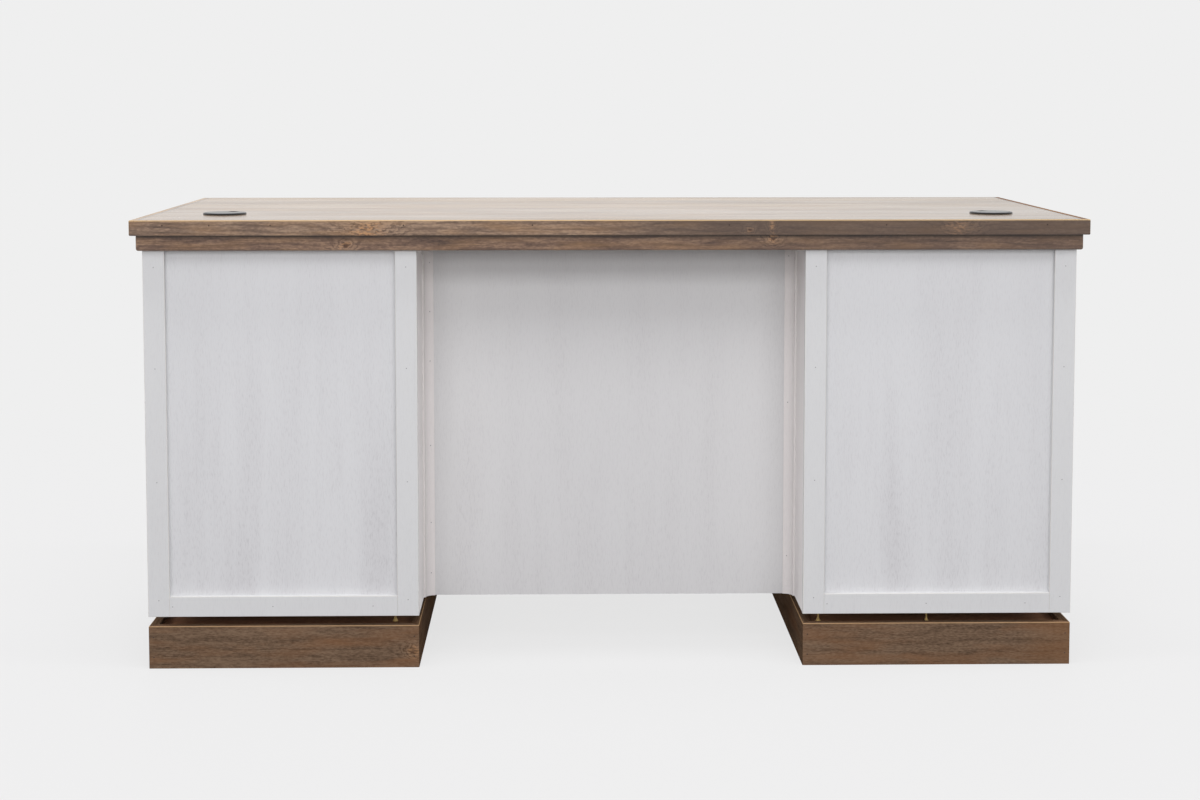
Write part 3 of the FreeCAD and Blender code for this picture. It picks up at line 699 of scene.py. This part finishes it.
def add_piece(name: str, shape: Shape, material: Material) -> bpy.types.Object:
    """Makes a new smooth piece from arrays and merges the points that meet at seams and poles.

    Args:
        name: The piece's name.
        shape: Points in metres and faces, one row each.
        material: The piece's finish.

    Returns:
        The new object, in the scene.
    """
    mesh = bpy.data.meshes.new(name)
    mesh.from_pydata(shape[0].tolist(), [], shape[1].tolist())
    merged = bmesh.new()
    merged.from_mesh(mesh)
    bmesh.ops.remove_doubles(merged, verts=merged.verts, dist=MERGE_DISTANCE)
    merged.to_mesh(mesh)
    merged.free()
    mesh.polygons.foreach_set("use_smooth", np.ones(len(mesh.polygons), dtype=bool))
    mesh.materials.append(material)
    piece = bpy.data.objects.new(name, mesh)
    bpy.context.scene.collection.objects.link(piece)
    LOG.info("%s: %d faces of %s", name, len(mesh.polygons), material.name)
    return piece


def turned(radius: np.ndarray, height: np.ndarray, steps: int) -> Shape:
    """Turns a profile about Z; its faces look outwards if the first ring is the top or inner one.

    Point i of ring j is j * steps + i and stands at i / steps of a full turn, at the ring's radius and
    height, which may differ from point to point.

    Args:
        radius: Radii, with one row for each ring.
        height: Heights, in the same way.
        steps: Number of points around each ring.

    Returns:
        Points and quads, closed around.
    """
    turn = np.linspace(0, 2 * math.pi, steps, endpoint=False)
    columns = np.broadcast_arrays(radius * np.cos(turn), radius * np.sin(turn), height)
    ring, step = np.meshgrid(np.arange(len(radius) - 1), np.arange(steps), indexing="ij")
    here, there = ring * steps + step, ring * steps + (step + 1) % steps
    quads = np.stack([here, here + steps, there + steps, there], axis=-1)
    return np.stack(columns, axis=-1).reshape(-1, 3), quads.reshape(-1, 4)


def stood(shape: Shape, places: np.ndarray, normals: np.ndarray) -> Shape:
    """Copies one shape to several places, with its Z turned to the normal there.

    A point (a, b, c) of the shape goes to place + a u + b v + c n, where n is the normal and u and v
    are square to it and to each other; u is square to Z too, or to X where the normal is upright.

    Args:
        shape: Points about the shape's own origin, and faces.
        places: Where the copies go, one row each.
        normals: Unit normals there, one row each.

    Returns:
        Points and faces of all the copies.
    """
    points, faces = shape
    helper = np.where(np.abs(normals[:, 2:3]) < 0.9, [UP], [TO_RIGHT])
    first = np.cross(helper, normals)
    first /= np.linalg.norm(first, axis=1, keepdims=True)
    basis = np.stack([first, np.cross(normals, first), normals], axis=1)
    copies = places[:, None, :] + np.einsum("pk,nkd->npd", points, basis)
    numbers = faces[None, :, :] + (np.arange(len(places)) * len(points))[:, None, None]
    return copies.reshape(-1, 3), numbers.reshape(-1, faces.shape[1])


@dataclass(frozen=True)
class Brads:
    """Putty dots over brad nails: radius and height over the face, in mm."""

    radius: float
    proud: float
    ring_shares: tuple[float, ...] = (0.0, 0.5, 0.85, 1.0)
    steps: int = 12

    def add(self, name: str, spots: Sequence[Spot], slot: str, putty: SmallFinish) -> None:
        """Adds the dots as one piece that rides on the fixed desk.

        Args:
            name: The piece's name.
            spots: Middle of each dot in metres, and the way that it faces.
            slot: The record's material slot; not used.
            putty: Finish of the dots.
        """
        places, normals = (np.array(column, dtype=float) for column in zip(*spots))
        piece = add_piece(name, stood(self._dome(), places, normals), putty.material())
        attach(piece, "desk")

    def _dome(self) -> Shape:
        """Makes one dot, a low dome that points up and is closed below.

        At share s of the way from its middle to its rim the radius is s times the full one and the
        height is the full one times 1 minus s to the fourth; the last ring closes its foot.

        Returns:
            Points about the middle of its foot, in metres, and faces.
        """
        share = np.array(self.ring_shares)
        radius, height = np.append(share, 0.0), np.append(1 - share ** 4, 0.0)
        return turned(radius[:, None] * self.radius * MM, height[:, None] * self.proud * MM, self.steps)


@dataclass
class TopAssembly:
    """Glued-up top with edge strips, the sub-top rails under it, and the brads in its edges."""

    board_mm: float = 123.0
    edge_knots: tuple[Knot, ...] = (
        Knot(-424, -380, 778, 14, 1.7, 0.2, 1.3), Knot(241, -380, 778, 4, 1.4, 0.8, 0.5),
        Knot(280, -380, 784, 13, 0.3, 0.0, 0.45), Knot(606, -380, 785, 12, 1.5, 0.0, 0.3))
    rail_knots: tuple[Knot, ...] = (Knot(-464, -371, 752, 5), Knot(282, -371, 763, 6, 1.2))
    top_knots: tuple[Knot, ...] = (Knot(-430, -80, 797, 3), Knot(-12, 352, 797, 5), Knot(150, 290, 797, 6),
                                   Knot(805, -335, 797, 3, 1.6, 1.0, 0.3))
    edge_drifts: tuple[Drift, ...] = (Drift(-60, 200, 0.75, "#4B3D35"),)
    # Painted shadow of the slab's overhang: the rails darken just under the slab.
    corner: Drift = Drift(763, 768.5, 0.75, "#1E1510", 2)
    rail_drift: Drift = Drift(0, 420, 0.35, "#4B3D35")
    # The panel darkens to the right and the user's side, and glue lines part it from its end strips.
    panel_drifts: tuple[Drift, ...] = (
        Drift(100, 800, 0.4, "#54432F"), Drift(-150, 381, 0.3, "#5E4B37", 1, 0.06),
        Drift(821.8, 823.0, 0.95, "#1A120D"), Drift(-821.8, -823.0, 0.95, "#1A120D"))
    # The right strip is redder and was rubbed dull.
    end_drifts: tuple[Drift, ...] = (Drift(-100, 100, 0.7, "#5A3A2A", 0, 0.97),)
    brad_x: tuple[float, ...] = (-780, -699, -593, -362, -138, 205, 480, 762)
    brad_y: tuple[float, ...] = (-318, -96, 121, 309)
    brad_below_top: float = 9.0
    brads: Brads = Brads(1.3, 0.03)

    def build(self) -> None:
        """Makes the putty dots of the brads that hold the edge strips, on all four sides."""
        low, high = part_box("top_long_edges")
        z = high.z - self.brad_below_top * MM
        long_faces = ((low.y, TO_VISITOR, 1), (high.y, TO_USER, -1))
        spots = [((sign * x * MM, y, z), way) for y, way, sign in long_faces for x in self.brad_x]
        spots += [((side.outer("top_end_edges"), y * MM, z), side.outward)
                  for side in Side for y in self.brad_y]
        self.brads.add("top_edge_brads", spots, "stained_wood", WOOD_PUTTY)

    def dress(self) -> None:
        """Puts stained wood on the top and the sub-top, with each grain the way its board runs, and a painted
        shadow under the slab on the sub-top rails.
        """
        for node, wood, grain, seed, board_mm, knots, drifts in (
                ("top_panel", TOP_ALDER, Grain.X, 3.1, self.board_mm, self.top_knots, self.panel_drifts),
                ("top_long_edges", EDGE_ALDER, Grain.X, 7.4, 0.0, self.edge_knots, self.edge_drifts),
                ("top_end_edges", END_ALDER, Grain.Y, 11.2, 0.0, (), self.end_drifts),
                ("sub_top_long_rails", RAIL_ALDER, Grain.X, 15.7, 0.0, self.rail_knots,
                 (self.rail_drift, self.corner)),
                ("sub_top_end_rails", RAIL_ALDER, Grain.Y, 19.3, 0.0, (), (self.corner,))):
            paint_node(node, wood.material(node, grain, seed, board_mm, knots, drifts))


@dataclass
class Grommets:
    """Cable grommets in the top: the fixed sleeves and the two loose caps."""

    def dress(self) -> None:
        """Puts moulded black plastic on sleeves and caps."""
        for node in ("grommet_sleeves", "left_grommet_cap", "right_grommet_cap"):
            paint_node(node, BLACK_ABS.material())


@dataclass
class Pedestal:
    """One pedestal's painted carcass with its applied frames and their brads."""

    side: Side
    stile_width: float = 38.0
    rail_height: float = 36.0
    stile_shares: tuple[float, ...] = (0.045, 0.37, 0.68, 0.955)
    rail_shares: tuple[float, ...] = (0.09, 0.46, 0.83)
    brads: Brads = Brads(1.0, 0.08)
    seed: float = 30.0
    seed_apart: float = 20.0

    def build(self) -> None:
        """Makes the putty dots along the stiles and the rail of the visitor's face and the outer end."""
        low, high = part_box(self.side.own("back_frame"))
        spots = [((x, low.y, z), TO_VISITOR) for x, z in self._frame_spots(low.x, high.x, low.z, high.z)]
        self.brads.add(self.side.own("frame_brads"), spots, "white_paint", PAINT_PUTTY)
        low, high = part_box(self.side.own("end_frame"))
        face = self.side.outer(self.side.own("end_frame"))
        marks = self._frame_spots(low.y, high.y, low.z, high.z)
        spots = [((face, y, z), self.side.outward) for y, z in marks]
        self.brads.add(self.side.own("end_brads"), spots, "white_paint", PAINT_PUTTY)

    def _frame_spots(self, start: float, end: float, bottom: float, top: float) -> list[Pair]:
        """Spreads brads over an applied frame of two stiles and a bottom rail.

        Args:
            start: Where the frame starts along its face, in metres.
            end: Where it ends.
            bottom: Height of its lower edge.
            top: Height of its upper edge.

        Returns:
            Place along the face and height of each brad.
        """
        inset = self.stile_width * MM / 2
        stile_z = bottom + np.array(self.stile_shares) * (top - bottom)
        rail = start + np.array(self.rail_shares) * (end - start)
        spots = [(along, z) for along in (start + inset, end - inset) for z in stile_z]
        return spots + [(along, bottom + self.rail_height * MM / 2) for along in rail]

    def dress(self) -> None:
        """Puts brushed paint on the carcass, lighter on the inner side as painted light, and sealed birch on
        its hidden stretchers.
        """
        seed = self.seed + self.seed_apart * self.side.value
        for number, name, finish, grain, *amounts in (
                (0, "outer_side", WHITE, Grain.Z, 0.25), (1, "inner_side", LIT_INNER_WHITE, Grain.Z, 0.1),
                (2, "back_panel", WHITE, Grain.Z, 0.55), (3, "back_frame", FRAME_WHITE, Grain.Z, 0.1, 0.25),
                (4, "end_frame", FRAME_WHITE, Grain.Z, 0.1), (8, "bottom", WHITE, Grain.Y),
                (9, "stretchers", BIRCH, Grain.X)):
            node = self.side.own(name)
            paint_node(node, finish.material(node, grain, seed + number, *amounts))


@dataclass
class ModestyPanel:
    """Panel across the visitor's knee space, with a cove strip and its brads at each end."""

    left_shares: tuple[float, ...] = (0.052, 0.19, 0.33, 0.57, 0.79, 0.935)
    right_shares: tuple[float, ...] = (0.035, 0.45, 0.89)
    brad_in: float = 13.0
    ray_start: float = 100.0
    brads: Brads = Brads(1.1, 0.08)

    def build(self) -> None:
        """Makes the putty dots on the hollow of each cove, found by a ray from the visitor's side."""
        low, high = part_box("modesty_coves")
        coves = frame["nodes"]["modesty_coves"]
        start = low.y - self.ray_start * MM
        hits = [coves.ray_cast((x, start, high.z - share * (high.z - low.z)), TO_USER)
                for x, shares in ((low.x + self.brad_in * MM, self.left_shares),
                                  (high.x - self.brad_in * MM, self.right_shares)) for share in shares]
        self.brads.add("cove_brads", [hit[1:3] for hit in hits], "white_paint", PAINT_PUTTY)

    def dress(self) -> None:
        """Puts cloudier, slightly lighter brushed paint on the panel and lighter plain paint on the coves;
        the extra lightness is painted light.
        """
        paint_node("modesty_panel", LIT_KNEE_WHITE.material("modesty_panel", Grain.Z, 71.0, 0.3))
        paint_node("modesty_coves", LIT_COVE_WHITE.material("modesty_coves", Grain.Z, 73.0, 0.05))


@dataclass
class Plinth:
    """Stained plinth under one pedestal, with brads at the corners of its faces."""

    side: Side
    brad_inset: float = 8.0
    brad_heights: tuple[float, ...] = (20.0, 56.0)
    # Painted shade: the side boards darken towards the knee space, from start to end X in mm, up to a share
    # of this dark brown.
    painted_shade_start: float = 600.0
    painted_shade_end: float = 400.0
    painted_shade_share: float = 0.3
    dark: str = "#2B211A"
    # One knot at the left plinth's inner end, and amber wood at the right one's outer end.
    face_knots: tuple[Knot, ...] = (Knot(-351, -362, 29, 9, 1.0, 0.4, 0.6),)
    face_drifts: tuple[Drift, ...] = (Drift(720, 815, 0.4, "#7C583A"),)
    brads: Brads = Brads(1.2, 0.08)
    seed: float = 101.0
    seed_apart: float = 13.0

    def build(self) -> None:
        """Makes the putty dots of the corner brads on the long faces and the outer end."""
        low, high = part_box(self.side.own("plinth_face_boards"))
        inset = self.brad_inset * MM
        corners = [((x, y), way) for y, way in ((low.y, TO_VISITOR), (high.y, TO_USER))
                   for x in (low.x + inset, high.x - inset)]
        outer = self.side.outer(self.side.own("plinth_side_boards"))
        corners += [((outer, y), self.side.outward) for y in (low.y + inset, high.y - inset)]
        spots = [((*corner, z * MM), way) for corner, way in corners for z in self.brad_heights]
        self.brads.add(self.side.own("plinth_brads"), spots, "stained_wood", WOOD_PUTTY)

    def dress(self) -> None:
        """Puts stained wood on the boards, cleats and bearers, with painted shade on the side boards by the
        knee space and painted light in the lighter cleats and bearers.
        """
        sign = self.side.value
        # Painted shade on the side boards next to the knee space.
        inner = (Drift(sign * self.painted_shade_start, sign * self.painted_shade_end, self.painted_shade_share, self.dark),)
        for number, (name, wood, grain, knots, drifts) in enumerate((
                ("face_boards", PLINTH_ALDER, Grain.X, self.face_knots, self.face_drifts),
                ("side_boards", SIDE_ALDER, Grain.Y, (), inner),
                ("cleats", LIT_BEARER_ALDER, Grain.Y, (), ()), ("bearers", LIT_BEARER_ALDER, Grain.X, (), ()))):
            node = self.side.own(f"plinth_{name}")
            seed = self.seed + self.seed_apart * sign + number
            paint_node(node, wood.material(node, grain, seed, 0.0, knots, drifts))


@dataclass
class Drawer:
    """One drawer: box, front, pull and its half of the slides."""

    name: str
    seed: float

    def dress(self) -> None:
        """Puts birch on the box, paint on the front, powder coat on the pull and zinc on the runners."""
        paint_node(f"{self.name}_box", BIRCH.material(f"{self.name}_box", Grain.Y, self.seed))
        paint_node(f"{self.name}_front", WHITE.material(f"{self.name}_front", Grain.X, self.seed + 3, 0.3))
        paint_node(f"{self.name}_pull", POWDER_COAT.material())
        paint_node(f"{self.name}_runners", BRIGHT_ZINC.material())


@dataclass
class SlideChannels:
    """Fixed halves of the drawer slides, in the carcass."""

    def dress(self) -> None:
        """Puts bright zinc on the channels."""
        for name in ("left", "right", "pencil"):
            paint_node(f"{name}_drawer_channels", BRIGHT_ZINC.material())


@dataclass
class WoodScrews:
    """Countersunk wood screws that stand head down: they level the pedestals and hold the sub-top.

    Sizes are in mm. The thread has the shank's radius at its crest and a share of it at its root.
    """

    length: float = 40.0
    head_radius: float = 5.0
    flat_share: float = 0.96
    rim: float = 0.8
    cone: float = 6.0
    shank: float = 2.0
    root_share: float = 0.68
    pitch: float = 2.2
    point: float = 6.0
    crest: float = 0.55
    recess_depth: float = 2.0
    recess_reach: float = 3.2
    recess_arm: float = 0.5
    rings_per_turn: int = 6
    cone_rings: int = 5
    recess_rings: int = 9
    steps: int = 24
    tip_nearness: float = 0.01

    def build(self) -> None:
        """Makes the screws at the tips that the frame's own screws have, and stands them for those."""
        node = frame["nodes"]["wood_screws"]
        low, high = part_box("wood_screws")
        points = np.empty(3 * len(node.data.vertices))
        node.data.vertices.foreach_get("co", points)
        points = points.reshape(-1, 3)
        apart = np.abs(points[:, 2:3] - [[high.z, low.z + self.length * MM]]).min(axis=1)
        tips = np.unique(np.round(points[apart < self.tip_nearness * MM], 5), axis=0)
        heads = tips - [0.0, 0.0, self.length * MM]
        shape = stood(self._screw(), heads, np.tile(UP, (len(heads), 1)))
        piece = add_piece("threaded_wood_screws", shape, YELLOW_ZINC.material())
        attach(piece, "desk")
        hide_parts("wood_screws")

    def _screw(self) -> Shape:
        """Makes one screw, turned about Z from its tip down to the middle of its head.

        The shank's radius at height z and turn a is the root radius, raised to the crest where the
        fraction of z over the pitch, less a over a full turn, is near one half; over the point it
        shrinks to nothing. The head's flat is sunk by the recess depth, less in proportion to the
        distance from the middle, along the arms of a cross.

        Returns:
            Points about the middle of the head's flat, in metres, and faces.
        """
        turn = np.linspace(0, 2 * math.pi, self.steps, endpoint=False)[None, :]
        neck = self.rim + self.cone
        z = np.arange(self.length, neck, -self.pitch / self.rings_per_turn)[:, None]
        phase = (z / self.pitch - turn / (2 * math.pi)) % 1
        ridge = np.clip(1 - np.abs(2 * phase - 1) / self.crest, 0, 1)
        runout = 1 - np.clip((z - neck) / self.pitch, 0, 1)
        swell = self.root_share + (1 - self.root_share) * np.maximum(ridge, runout)
        shaft = self.shank * np.clip((self.length - z) / self.point, 0, 1) * swell
        share = np.linspace(0, 1, self.cone_rings)
        side_radius = np.append(self.shank + (self.head_radius - self.shank) * share, self.head_radius)
        side_z = np.append(neck - self.cone * share, 0.0)
        hollow = np.linspace(self.recess_reach, 0, self.recess_rings)
        flat = np.append(self.head_radius * self.flat_share, hollow)[:, None]
        arm = np.minimum(np.abs(flat * np.cos(turn)), np.abs(flat * np.sin(turn)))
        cross = np.clip(2 - arm / self.recess_arm, 0, 1)
        sunk = self.recess_depth * cross * np.clip(1 - flat / self.recess_reach, 0, 1)
        whole = np.ones((1, self.steps))
        radius = np.vstack([shaft, side_radius[:, None] * whole, flat * whole])
        height = np.vstack([z * whole, side_z[:, None] * whole, sunk])
        return turned(radius * MM, height * MM, self.steps)


@dataclass(frozen=True)
class SoftBox:
    """Rectangular studio lamp: place, size in metres and power in watts; it faces the desk's middle."""

    name: str
    place: Way
    width: float
    height: float
    watts: float


@dataclass
class Studio:
    """Pale seamless room, soft lamps all round, and the photographer's camera; its lengths are metres."""

    backdrop: str = "#EFEFEF"
    # The floor shows paler than it lights, as paper does with a dark room around it.
    floor_shown: str = "#CDCDCD"
    floor_bounce: str = "#8A8A8A"
    ambient: float = 0.41
    ambient_tint: tuple[float, ...] = (1.0, 0.95, 1.03, 1.0)
    floor_radii: tuple[float, ...] = (0.0, 1.0, 3.0, 8.0, 40.0)
    floor_steps: int = 96
    shadow_share: float = 0.18
    fade: Pair = (1.6, 3.2)
    lamps: tuple[SoftBox, ...] = (
        SoftBox("front_wall", (0.0, -6.0, 1.6), 5.0, 0.9, 74.0),
        SoftBox("front_low", (0.0, -4.6, 2.41), 5.0, 0.8, 57.0),
        SoftBox("front_high", (0.0, -3.4, 4.29), 4.6, 1.85, 65.0),
        SoftBox("overhead", (0.0, -0.9, 4.6), 4.0, 0.5, 90.0),
        SoftBox("left_end", (-5.0, 0.0, 2.2), 3.0, 1.2, 84.0),
        SoftBox("right_end", (5.0, 0.0, 2.2), 3.0, 1.2, 84.0),
        SoftBox("back_low", (0.0, 4.6, 2.41), 5.0, 0.8, 85.0),
        SoftBox("back_high", (0.0, 3.4, 4.29), 4.6, 1.85, 50.0),
    )
    camera_place: Way = (-0.0903, -3.9787, 1.0212)
    camera_yaw: float = 0.01943
    camera_pitch: float = 0.07963
    focal_pixels: float = 2071.5
    picture_width: float = 1200.0
    sensor_mm: float = 36.0
    shift_up: float = -0.12

    def build(self) -> None:
        """Makes the room, the lamps and the camera."""
        self._world()
        self._floor()
        for lamp in self.lamps:
            self._lamp(lamp)
        self._camera()

    def _seen_ray(self, net: Recipe) -> Node:
        """Gives 1 to rays that show the background itself: camera, mirror and glass rays.

        Args:
            net: Recipe of the room's light or of the floor.

        Returns:
            Node that is 1 for such a ray and 0 for the others.
        """
        path = net.add("ShaderNodeLightPath").outputs
        seen = net.add(MATH, [path["Is Camera Ray"], path["Is Glossy Ray"]], "MAXIMUM")
        return net.add(MATH, [seen, path["Is Transmission Ray"]], "MAXIMUM")

    def _world(self) -> None:
        """Lights the room evenly and shows the backdrop colour to rays that see it."""
        net = Recipe(bpy.data.worlds.new("studio"))
        seen = self._seen_ray(net)
        strength = net.add(RANGE, [seen, 0.0, 1.0, self.ambient])
        light = net.add(MIX, {0: seen, MIX_COLOUR_A: self.ambient_tint, MIX_COLOUR_B: linear(self.backdrop)},
                        data_type="RGBA")
        shown = net.add("ShaderNodeBackground", {"Color": light, "Strength": strength})
        net.add("ShaderNodeOutputWorld", {"Surface": shown})
        bpy.context.scene.world = net.owner

    def _footprint(self, net: Recipe) -> Node:
        """Finds the floor inside the hollow plinths, which stays dark.

        Args:
            net: The floor's recipe.

        Returns:
            Node that is 1 inside the plinths' boards and 0 outside; the two sides mirror each other.
        """
        low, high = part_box("right_plinth_face_boards")
        x, y, _ = net.axes
        spans = ((net.add(MATH, [x], "ABSOLUTE"), low.x, high.x), (y, low.y, high.y))
        inside = [net.add(MATH, [value, (start + end) / 2, (end - start) / 2], "COMPARE")
                  for value, start, end in spans]
        return net.add(MATH, inside, "MULTIPLY")

    def _floor(self) -> None:
        """Makes a round floor that keeps a faint shadow and fades to the backdrop further out.

        The floor is a disc: rings of growing radius round the origin, at zero height.
        """
        net = Recipe(bpy.data.materials.new("paper_sweep_pale"))
        seen = self._seen_ray(net)
        out = net.add(VECTOR, [net.add(COORDS).outputs["Object"]], "LENGTH").outputs["Value"]
        clear = net.add(RANGE, [out, *self.fade, 1 - self.shadow_share])
        share = net.add(MATH, [clear, seen], "MULTIPLY")
        open_floor = net.add(MATH, [1.0, self._footprint(net)], "SUBTRACT")
        share = net.add(MATH, [share, open_floor], "MULTIPLY")
        shade = net.layered(self.floor_bounce, (seen, self.floor_shown))
        paper = net.add("ShaderNodeBsdfDiffuse", {"Color": shade})
        glow = net.add("ShaderNodeEmission", {"Color": linear(self.backdrop), "Strength": 1.0})
        surface = net.add("ShaderNodeMixShader", [share, paper, glow])
        net.add("ShaderNodeOutputMaterial", {"Surface": surface})
        radii = np.array(self.floor_radii)[:, None]
        disc = turned(radii, np.zeros_like(radii), self.floor_steps)
        add_piece("studio_floor", disc, net.owner)

    def _lamp(self, lamp: SoftBox) -> None:
        """Adds one soft box aimed at the middle of the desk; shine shows the backdrop, not the lamps.

        Args:
            lamp: Its place, size and power.
        """
        data = bpy.data.lights.new(lamp.name, "AREA")
        data.shape = "RECTANGLE"
        data.size, data.size_y, data.energy = lamp.width, lamp.height, lamp.watts
        light = bpy.data.objects.new(lamp.name, data)
        middle = (np.array(CAD_BOX[0]) + np.array(CAD_BOX[1])) / 2
        x, y, z = middle - np.array(lamp.place)
        light.location = lamp.place
        light.rotation_euler = (math.atan2(math.hypot(x, y), -z), 0.0, math.atan2(-x, y))
        light.visible_camera = False
        light.visible_glossy = False
        bpy.context.scene.collection.objects.link(light)

    def _camera(self) -> None:
        """Adds the camera that was fitted to the desk's edges in the photograph."""
        data = bpy.data.cameras.new("photographer")
        data.sensor_width = self.sensor_mm
        data.lens = self.focal_pixels * self.sensor_mm / self.picture_width
        data.shift_y = self.shift_up
        camera = bpy.data.objects.new("photographer", data)
        camera.location = self.camera_place
        camera.rotation_euler = (math.pi / 2 - self.camera_pitch, 0.0, -self.camera_yaw)
        bpy.context.scene.collection.objects.link(camera)
        bpy.context.scene.camera = camera


def main() -> None:
    """Builds and dresses each sub-assembly, then the studio."""
    logging.basicConfig(level=logging.INFO, format="%(name)s: %(message)s")
    bpy.context.scene.view_settings.view_transform = "Standard"
    drawers = [body for body in frame["bodies"] if body.endswith("_drawer")]
    dressers = [TopAssembly(), ModestyPanel()]
    dressers += [kind(side) for kind in (Pedestal, Plinth) for side in Side]
    for builder in (*dressers, WoodScrews()):
        builder.build()
    dressers += [Grommets(), SlideChannels()]
    dressers += [Drawer(name, 201.0 + 7 * number) for number, name in enumerate(drawers)]
    for dresser in dressers:
        dresser.dress()
    Studio().build()


if __name__ == "__main__":
    main()
